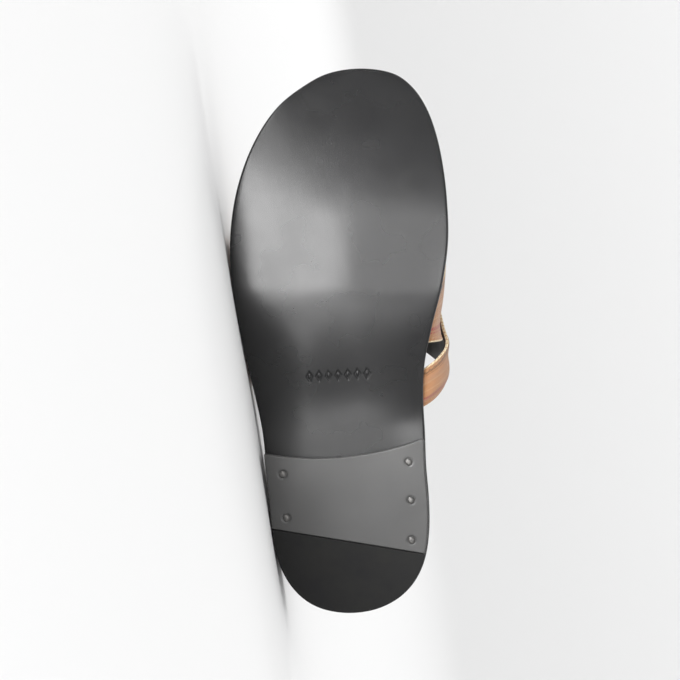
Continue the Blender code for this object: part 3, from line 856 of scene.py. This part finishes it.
def heel_side(sign, inset, line):
    """How far across a line over the heel meets its outline, taken in by inset: outer side for 1, inner for -1."""
    stations = np.concatenate([(1 - np.cos(np.linspace(0, 0.5, 60))) / 2, np.linspace(0.065, 0.40, 80)])
    side = ladder(stations, inset)[0 if sign > 0 else 1]
    x = sign * HEEL_WIDTH / 2
    for _ in range(12):
        x = float(np.interp(line(x), side[:, 1], side[:, 0]))
    return x


def heel_patch(back, front, inset, rows, columns):
    """Plan points of the heel between two lines across it, row by row from back to front, outer side first."""
    found = []
    for share in np.linspace(0, 1, rows + 1):
        def line(x, share=share):
            return back(x) * (1 - share) + front(x) * share

        across = np.linspace(heel_side(1, inset, line), heel_side(-1, inset, line), columns + 1)
        found.append(np.column_stack([across, line(across)]))
    return np.array(found)


def heel_end_patch(front, inset, rows, columns):
    """Plan points of the rounded back of the heel, row by row up to a line across it."""
    corner = min(float(front(heel_side(sign, inset, front))) for sign in (-1, 1))
    turns = np.linspace(0, math.pi / 2, rows + 1)[1:]
    found = []
    for share in 1 - np.cos(turns):
        base = inset + (corner - inset) * share
        inner, outer = sole_sides(base / SOLE_LENGTH)
        blend = share**2

        def line(x, base=base, blend=blend):
            return base * (1 - blend) + front(x) * blend

        across = np.linspace(heel_side(1, inset, line), heel_side(-1, inset, line), columns + 1)
        found.append(np.column_stack([across, line(across)]))
    return np.array(found)


def border(rows, columns):
    """Numbers of a grid's border points, once round: first column up, last row, last column down, first row."""
    index = np.arange(rows * columns).reshape(rows, columns)
    return np.concatenate([index[:, 0], index[-1, 1:], index[-2::-1, -1], index[0, -2:0:-1]])


def block_on(patch, bottom, rings, top):
    """A closed block that stands on a patch of plan points.

    bottom gives the height of the patch at x and y. rings are (how far out past the patch's border, height),
    and top is the height of the flat lid.
    """
    rows, columns = patch.shape[:2]
    plan = patch.reshape(-1, 2)
    points = [np.column_stack([plan, bottom(plan[:, 0], plan[:, 1])])]
    around = border(rows, columns)
    loop = plan[around]
    slope = np.roll(loop, -1, axis=0) - np.roll(loop, 1, axis=0)
    slope /= np.linalg.norm(slope, axis=1)[:, None]
    outward = np.column_stack([slope[:, 1], -slope[:, 0]])
    if np.sum(loop[:, 0] * np.roll(loop[:, 1], -1) - loop[:, 1] * np.roll(loop[:, 0], -1)) < 0:
        outward = -outward
    for out, height in rings:
        points.append(np.column_stack([loop + out * outward, np.full(len(loop), height)]))
    points.append(np.column_stack([plan, np.full(len(plan), top)]))
    count = len(around)
    start = len(plan)
    loops = [around] + [start + k * count + np.arange(count) for k in range(len(rings))]
    loops.append(start + len(rings) * count + around)
    faces = []
    for low, high in zip(loops, loops[1:]):
        faces += np.column_stack([low, np.roll(low, -1), np.roll(high, -1), high]).tolist()
    grid = grid_faces(rows, columns)
    faces += grid.tolist()
    faces += (grid[:, ::-1] + start + len(rings) * count).tolist()
    return np.vstack(points), faces


def block(name, parts, nodes, material):
    """One piece from several closed blocks, with its faces turned outwards."""
    points, faces = [], []
    start = 0
    for part_points, part_faces in parts:
        points.append(part_points)
        faces += [tuple(v + start for v in face) for face in part_faces]
        start += len(part_points)
    made = piece(name, np.vstack(points), faces, nodes, material)
    turned = bmesh.new()
    turned.from_mesh(made.data)
    bmesh.ops.recalc_face_normals(turned, faces=turned.faces)
    turned.to_mesh(made.data)
    turned.free()
    made.data.set_sharp_from_angle(angle=math.radians(40))
    return made


def nail_centres():
    """Plan places of the heel nails."""
    found = []
    for row in NAIL_PLACES:
        x = row.across * HEEL_WIDTH
        back, front = tip_line(x), breast_line(x)
        found.append((x, back * (1 - row.along) + front * row.along))
    return found


def heel():
    """The leather block in two steps, and the rubber tip under its back."""
    leather = polished_leather(*HEEL_POLISH)
    soft = HEEL_ROUND
    rebate = TIP_THICKNESS + GAP
    top = HEEL_HEIGHT - GAP
    turns = np.linspace(0, math.pi / 2, TREAD_ROUND_STEPS + 1)[1:]
    tread_round = [(soft * math.sin(turn), soft * (1 - math.cos(turn))) for turn in turns]

    def tread(x, y):
        rise = TIP_PROUD + dents(HEEL_DENTS, x, y)
        for nail_x, nail_y in nail_centres():
            away = np.hypot(x - nail_x, y - nail_y)
            rise += NAIL_DIMPLE * np.exp(-(((away - NAIL_HEAD_RADIUS) / NAIL_DIMPLE_REACH) ** 2))
        return rise

    def flat(height):
        return lambda x, y: np.full_like(x, height)

    def breast(x):
        return breast_line(x) - soft

    def seam(x):
        return tip_line(x) + GAP + soft

    front = heel_patch(seam, breast, HEEL_INSET + soft, TREAD_ROWS, TREAD_COLUMNS)
    whole = heel_end_patch(breast, HEEL_INSET + soft, HEEL_STEPS, HEEL_STEPS)
    sides = [(soft, rebate + BLOCK_BEVEL), (soft, top - BLOCK_BEVEL)]
    tread_sides = [(out, TIP_PROUD + up) for out, up in tread_round]
    block(
        "heel_leather",
        [
            block_on(whole, flat(rebate), sides, top),
            block_on(front, tread, tread_sides, rebate + BLOCK_OVERLAP),
        ],
        ["heel_block"],
        leather,
    )
    rear = heel_end_patch(lambda x: tip_line(x) - soft, HEEL_INSET + soft, HEEL_STEPS, HEEL_STEPS)
    block(
        "heel_rubber",
        [block_on(rear, lambda x, y: dents(RUBBER_DENTS, x, y), tread_round, TIP_THICKNESS)],
        ["heel_tip"],
        matte_rubber(),
    )
    metal = dark_metal()
    for number, (x, y) in enumerate(nail_centres(), start=1):
        nail(number, x, y, metal)


def nail(number, x, y, metal):
    """One nail: a domed head on a thinner shank."""
    sides = NAIL_SIDES
    outline = [
        (0.0, TIP_PROUD + NAIL_LENGTH),
        (NAIL_SHANK_RADIUS, TIP_PROUD + NAIL_LENGTH),
        (NAIL_SHANK_RADIUS, TIP_PROUD + NAIL_NECK),
        (NAIL_HEAD_RADIUS * 0.97, TIP_PROUD + NAIL_NECK),
    ]
    for turn in np.linspace(0, math.pi / 2, DOME_STEPS + 1):
        rise = TIP_PROUD + NAIL_RIM - (NAIL_HEAD_RISE + NAIL_RIM) * math.sin(turn)
        outline.append((NAIL_HEAD_RADIUS * math.cos(turn) ** 0.8, rise))
    outline[-1] = (0.0, outline[-1][1])
    turns = 2 * math.pi * np.arange(sides) / sides
    points = [(x, y, outline[0][1])]
    points += [(x + r * math.cos(turn), y + r * math.sin(turn), z) for r, z in outline[1:-1] for turn in turns]
    points.append((x, y, outline[-1][1]))
    faces = [(0, 1 + k, 1 + (k + 1) % sides) for k in range(sides)]
    faces += grid_faces(len(outline) - 2, sides, 1, close=True, flip=True).tolist()
    last = len(points) - 1
    ring = last - sides
    faces += [(last, ring + (k + 1) % sides, ring + k) for k in range(sides)]
    made = piece(f"nail_{number}", points, faces, [f"heel_nail_{number}"], metal)
    made.data.set_sharp_from_angle(angle=math.radians(50))


def quarter(centre, across, up, squareness):
    """A quarter of a rounded curve about centre, from across beside it to up above it."""
    angles = np.linspace(0, math.pi / 2, QUARTER_STEPS + 1)
    power = 2 / squareness
    return np.column_stack(
        [
            centre[0] + across * np.cos(angles) ** power,
            centre[1] + up * np.sin(angles) ** power,
        ]
    )


def last_section(station):
    """How far the last stands out past the sole's inner edge, and how high its ridge is above the footbed."""
    stations = [row.station for row in LAST_ROWS]
    proud = smooth_through(stations, [row.inner_proud for row in LAST_ROWS], station)
    ridge = smooth_through(stations, [row.ridge for row in LAST_ROWS], station)
    return float(proud) * BALL_WIDTH, float(ridge) * INSTEP_HEIGHT


def arch(station):
    """Middle line of a strap at a station, from its inner slit over the instep to its outer slit."""
    inner_edge, outer_edge = (float(side) for side in sole_sides(station))
    slit = float(outsole_top(station)) + GAP + STRAP_THICKNESS / 2
    inner_proud, ridge_rise = last_section(station)
    ridge_height = float(footbed(station, 0.0)) + ridge_rise
    ridge = -RIDGE_INWARD
    inner_wide = inner_edge + inner_proud
    outer_wide = outer_edge - OUTER_SETBACK
    inner_slit = inner_edge - SLIT_DEPTH
    outer_slit = outer_wide - SLIT_DEPTH
    inner_belly = slit + INNER_BELLY
    outer_belly = slit + OUTER_BELLY
    pieces = [
        quarter((-inner_slit, inner_belly), -(inner_wide - inner_slit), -INNER_BELLY, 2.0)[::-1],
        quarter((ridge, inner_belly), -(inner_wide + ridge), ridge_height - inner_belly, 2.2)[1:],
        quarter((ridge, outer_belly), outer_wide - ridge, ridge_height - outer_belly, 2.3)[::-1][1:],
        quarter((outer_slit, outer_belly), SLIT_DEPTH, -OUTER_BELLY, 2.6)[1:],
    ]
    return np.vstack(pieces)


def strap_point(over, station):
    """A point of the straps' middle surface. Below 0 and above 1, over counts metres into a slit."""
    line = arch(station)
    steps = np.linalg.norm(np.diff(line, axis=0), axis=1)
    length = np.concatenate([[0.0], np.cumsum(steps)])
    share = min(max(over, 0.0), 1.0) * length[-1]
    x = np.interp(share, length, line[:, 0])
    z = np.interp(share, length, line[:, 1])
    x -= min(over, 0.0) + max(over - 1, 0.0)
    return x, station * SOLE_LENGTH, z


def strap_edges(rows, over):
    shares = [row.over for row in rows]
    back = smooth_through(shares, [row.back for row in rows], over)
    front = smooth_through(shares, [row.front for row in rows], over)
    return back, front


class Strap:
    """A strap's middle surface as a grid: rows along the strap, columns from its back to its front edge."""

    def __init__(self, rows, lapped, creases):
        even = np.linspace(0, 1, STRAP_STEPS + 1)
        crowded = even + 0.5 * ((1 - np.cos(math.pi * even)) / 2 - even)
        tabs = STRAP_TAB * np.arange(1, STRAP_TAB_STEPS + 1) / STRAP_TAB_STEPS
        self.overs = np.concatenate([-tabs[::-1], crowded, 1 + tabs])
        self.across = np.sin(np.linspace(-math.pi / 2, math.pi / 2, STRAP_COLUMNS + 1))
        back, front = strap_edges(rows, self.overs)
        shares = (1 + self.across) / 2
        self.stations = back[:, None] * (1 - shares) + front[:, None] * shares
        grid = [[strap_point(o, s) for s in row] for o, row in zip(self.overs, self.stations)]
        self.points = np.array(grid)
        over_way = np.gradient(self.points, axis=0)
        across_way = np.gradient(self.points, axis=1)
        normal = np.cross(over_way, across_way)
        self.normals = normal / np.linalg.norm(normal, axis=2)[..., None]
        self.half_width = (front - back) * SOLE_LENGTH / 2
        self.points = self.points + self.normals * self.relief(lapped, creases)[..., None]
        steps = np.linalg.norm(np.diff(self.points[:, STRAP_COLUMNS // 2], axis=0), axis=1)
        self.length = np.concatenate([[0.0], np.cumsum(steps)])

    def relief(self, lapped, creases):
        """How far the strap stands off the last: over the other strap, and in its creases."""
        overs = np.broadcast_to(self.overs[:, None], self.stations.shape)
        across = np.broadcast_to(self.across[None, :], self.stations.shape)
        rise = np.zeros_like(self.stations)
        if lapped:
            back, front = strap_edges(UNDER_STRAP, self.overs)
            gap = np.maximum(back[:, None] - self.stations, self.stations - front[:, None])
            rise += (STRAP_THICKNESS + LAP_ROOM) * ease(1 - np.maximum(gap, 0) * SOLE_LENGTH / STRAP_RAMP)
        for row in creases:
            along = overs - row.over
            beside = across - row.across - row.lean * along
            rise += row.height * np.exp(-((along / row.length) ** 2) - (beside / row.width) ** 2)
        return rise

    def layer(self, low, high, setback=0.0, crown=0.0, dip=0.0, turned=1.0):
        """Closed band between two offsets from the middle surface, with round edges: points, faces and map.

        The map starts at the front edge where turned is 1, and at the back edge where it is -1.
        """
        squeeze = 1 - setback / self.half_width[:, None]
        across = self.across[None, :] * squeeze
        points = self.sample(self.points, across)
        normals = self.sample(self.normals, across)
        edge = (1 - np.abs(self.across[None, :])) * self.half_width[:, None]
        half = (high - low) / 2
        taper = np.sqrt(1 - np.clip(1 - edge / half, 0, 1) ** 2)
        swell = crown * (1 - self.across[None, :] ** 2)
        seam = dip * np.exp(-(((edge - STITCH_INSET) / STITCH_DIP_REACH) ** 2))
        middle = (high + low) / 2
        upper = points + normals * (middle + half * taper + swell * taper - seam * taper)[..., None]
        lower = points + normals * (middle - half * taper)[..., None]
        rows, columns = upper.shape[:2]
        inner = np.arange(1, columns - 1)
        index = np.arange(rows * columns).reshape(rows, columns)
        below = index.copy()
        below[:, inner] = rows * columns + np.arange(rows * len(inner)).reshape(rows, -1)
        faces = [quads(index), quads(below)[:, ::-1]]
        for row, turned in ((0, False), (rows - 1, True)):
            strip = np.stack([index[row, :-1], index[row, 1:], below[row, 1:], below[row, :-1]], axis=-1)
            faces.append(strip[:, ::-1] if turned else strip)
        every = [unique_corners(face) for group in faces for face in group]
        u = np.broadcast_to(self.length[:, None], across.shape)
        v = (1 - turned * across) * STRAP_HALF_WIDTH
        uv = np.stack([u, v], axis=-1)
        map_points = np.vstack([uv.reshape(-1, 2), uv[:, inner].reshape(-1, 2)])
        return np.vstack([upper.reshape(-1, 3), lower[:, inner].reshape(-1, 3)]), every, map_points

    def sample(self, grid, across):
        """Reads a grid at other places across the strap, row by row."""
        return np.stack(
            [
                np.stack([np.interp(a, self.across, row[:, c]) for c in range(3)], axis=-1)
                for a, row in zip(across, grid)
            ]
        )

    def stitches(self, side, height, start, end):
        """Points and faces of a row of stitches beside one edge of the strap."""
        rows = (self.overs > start) & (self.overs < end)
        inset = 1 - STITCH_INSET / self.half_width[:, None]
        across = np.column_stack([side * inset])
        line = self.sample(self.points, across)[rows, 0]
        normal = self.sample(self.normals, across)[rows, 0]
        line = line + normal * height
        length = np.concatenate([[0.0], np.cumsum(np.linalg.norm(np.diff(line, axis=0), axis=1))])
        points, faces = [], []
        body, body_faces = stitch_body()
        for middle in np.arange(STITCH_PITCH, length[-1] - STITCH_PITCH, STITCH_PITCH):
            place = [np.interp(middle, length, line[:, c]) for c in range(3)]
            ahead = np.array([np.interp(middle + STITCH_AHEAD, length, line[:, c]) for c in range(3)]) - place
            up = np.array([np.interp(middle, length, normal[:, c]) for c in range(3)])
            ahead /= np.linalg.norm(ahead)
            beside = np.cross(up, ahead)
            beside /= np.linalg.norm(beside)
            up = np.cross(ahead, beside)
            turn = np.stack([ahead, beside, up])
            faces.append(body_faces + len(points) * len(body))
            points.append(body @ turn + place)
        return np.vstack(points), np.vstack(faces)


def quads(index):
    return np.stack([index[:-1, :-1], index[1:, :-1], index[1:, 1:], index[:-1, 1:]], axis=-1).reshape(-1, 4)


def unique_corners(face):
    """A face without repeated corners, as where two faces of a band share its edge."""
    seen = []
    for corner in face:
        if corner not in seen:
            seen.append(corner)
    return seen


def stitch_body():
    """One stitch lying along the first axis: a short rounded thread that dives at both ends."""
    ring, steps = 8, 7
    points = []
    for step in range(steps + 1):
        along = -1 + 2 * step / steps
        thick = math.sqrt(max(1 - along**6, 0.02))
        dive = -0.6 * STITCH_WIDTH * along**4
        for corner in range(ring):
            turn = 2 * math.pi * corner / ring
            side = STITCH_WIDTH / 2 * thick * math.cos(turn)
            up = STITCH_WIDTH / 2 * thick * math.sin(turn) * 0.8
            points.append((along * STITCH_LENGTH / 2, side, up + dive))
    points += [(-STITCH_LENGTH / 2, 0, -0.6 * STITCH_WIDTH), (STITCH_LENGTH / 2, 0, -0.6 * STITCH_WIDTH)]
    faces = grid_faces(steps + 1, ring, 0, close=True, flip=True)
    first, last = len(points) - 2, len(points) - 1
    caps = []
    for corner in range(ring):
        after = (corner + 1) % ring
        caps.append((first, after, corner, corner))
        caps.append((last, steps * ring + corner, steps * ring + after, steps * ring + after))
    return np.array(points), np.vstack([faces, caps])


def upper():
    """Both straps: striped cloth outside, black leather lining inside, and stitches along every edge."""
    cloth = striped_cloth()
    lining = grained_leather(*LINING_GRAIN)
    sewing = thread()
    half = STRAP_THICKNESS / 2
    for name, rows, lapped, creases, turned in (
        ("over_strap", OVER_STRAP, True, OVER_CREASES, 1.0),
        ("under_strap", UNDER_STRAP, False, UNDER_CREASES, -1.0),
    # the under strap's stripes are turned so that the wide brown band, partly painted shade, lies along its back
    # edge
    ):
        strap = Strap(rows, lapped, creases)
        inside = -half + LINING_THICKNESS
        crown = CLOTH_CROWN * lapped
        points, faces, uv = strap.layer(inside - CLOTH_TUCK, half, crown=crown, dip=STITCH_DIP, turned=turned)
        piece(f"{name}_cloth", points, faces, ["upper"], cloth, uv)
        points, faces, uv = strap.layer(-half, inside, LINING_SETBACK)
        piece(f"{name}_lining", points, faces, [], lining, uv)
        sewn = [strap.stitches(side, half - STITCH_DIP * 0.4, 0.01, 0.99) for side in (-1, 1)]
        count = len(sewn[0][0])
        points = np.vstack([sewn[0][0], sewn[1][0]])
        faces = [unique_corners(face) for face in np.vstack([sewn[0][1], sewn[1][1] + count])]
        piece(f"{name}_stitches", points, faces, [], sewing)


def stage_material():
    """Plain matte paint, a little lighter up the backdrop, where less light falls."""
    made = Recipe("stage_paint", Specular_IOR_Level=0.1, Roughness=0.95)
    split = made.tree.nodes.new("ShaderNodeSeparateXYZ")
    made.feed(split.inputs[0], made.place())
    greys = ((0.0, FLOOR_GREY), (BACKDROP_GREY_FROM, BACKDROP_GREY))
    made.set("Base Color", made.ramp(split.outputs[2], greys))
    return made.material


def stage():
    """A pale floor that curves up into a backdrop all round the shoe."""
    flat = FLOOR_RINGS[-1]
    bend = BACKDROP_BEND
    sectors = BACKDROP_SECTORS
    profile = [(radius, 0.0) for radius in (0.0, *FLOOR_RINGS)]
    for turn in np.linspace(0, math.pi / 2, 16)[1:]:
        profile.append((flat + bend * math.sin(turn), bend * (1 - math.cos(turn))))
    profile.append((flat + bend, BACKDROP_HEIGHT))
    turns = 2 * math.pi * np.arange(sectors) / sectors
    points = [(0.0, 0.0, 0.0)]
    points += [(r * math.cos(turn), r * math.sin(turn), z) for r, z in profile[1:] for turn in turns]
    faces = [(0, 1 + k, 1 + (k + 1) % sectors) for k in range(sectors)]
    faces += grid_faces(len(profile) - 1, sectors, 1, close=True, flip=True).tolist()
    mesh = bpy.data.meshes.new("floor")
    mesh.from_pydata(points, [], faces)
    mesh.shade_smooth()
    mesh.materials.append(stage_material())
    floor = bpy.data.objects.new("floor", mesh)
    bpy.context.scene.collection.objects.link(floor)


def camera():
    """Looks square on at the sole, a little from its inner side, with the toe up in the picture."""
    below = math.cos(VIEW_INWARD) * math.cos(VIEW_HEELWARD)
    local = Vector((-math.sin(VIEW_INWARD), -math.sin(VIEW_HEELWARD), -below))
    turn = Matrix(ROTATION.tolist())
    target = turn @ VIEW_TARGET + Vector(SHIFT)
    back = turn @ local
    up = turn @ Vector((0, 1, 0))
    right = up.cross(back).normalized()
    up = back.cross(right)
    data = bpy.data.cameras.new("camera")
    made = bpy.data.objects.new("camera", data)
    bpy.context.scene.collection.objects.link(made)
    stance = Matrix((right, up, back)).transposed().to_4x4()
    made.matrix_world = Matrix.Translation(target + back * VIEW_DISTANCE) @ stance
    half = SOLE_LENGTH / SHOE_SHARE / 2
    data.sensor_width = 36.0
    data.lens = data.sensor_width / 2 * VIEW_DISTANCE / half
    data.clip_end = 50.0
    bpy.context.scene.camera = made


LightRow = namedtuple("LightRow", "name place target wide high radiance")


def floor_panel(name, x, y, wide, high, radiance):
    """A light panel that lies on the floor in front of the sole and faces up, for the polish to reflect."""
    return LightRow(name, (x, y, PANEL_HEIGHT), (x, y, 1.0), wide, high, radiance)


LIGHTS = (
    LightRow("top_box", (0.5, 0.3, 2.0), (0.0, 0.0, 0.05), 0.9, 0.7, 3.0),
    LightRow("strap_box", (-0.9, 1.5, 1.2), (0.0, 0.0, 0.05), 0.5, 0.5, 6.0),
    floor_panel("floor_panel", -0.085, -0.58, 0.106, 0.96, 25.0),
    floor_panel("floor_panel_edge", -0.021, -0.50, 0.022, 0.76, 15.0),
    floor_panel("floor_panel_toe", -0.190, -0.50, 0.10, 0.80, 9.0),
    floor_panel("floor_panel_side", 0.035, -0.45, 0.09, 0.58, 8.0),
    floor_panel("floor_panel_far", 0.210, -0.98, 0.20, 0.64, 22.0),
    floor_panel("floor_panel_back", -0.070, -1.55, 0.20, 0.90, 2.0),
    LightRow("high_box", (0.00, -1.75, 0.30), (0.00, 0.0, 0.10), 0.34, 0.30, 14.0),
)


def lights():
    """Area lights that the camera doesn't see, in an evenly lit white room."""
    for row in LIGHTS:
        data = bpy.data.lights.new(row.name, "AREA")
        data.shape = "RECTANGLE"
        data.size, data.size_y = row.wide, row.high
        data.energy = math.pi * row.wide * row.high * row.radiance
        made = bpy.data.objects.new(row.name, data)
        bpy.context.scene.collection.objects.link(made)
        made.location = row.place
        aim = Vector(row.target) - Vector(row.place)
        made.rotation_mode = "QUATERNION"
        made.rotation_quaternion = aim.to_track_quat("-Z", "Y")
        made.visible_camera = False
    world = bpy.data.worlds.new("studio")
    world.use_nodes = True
    room = world.node_tree.nodes["Background"]
    room.inputs["Color"].default_value = (1.0, 1.0, 1.0, 1.0)
    room.inputs["Strength"].default_value = ROOM_LIGHT
    bpy.context.scene.world = world
    bpy.context.scene.view_settings.view_transform = "Standard"


camera()
outsole()
heel()
footbed_piece()
upper()
stage()
lights()
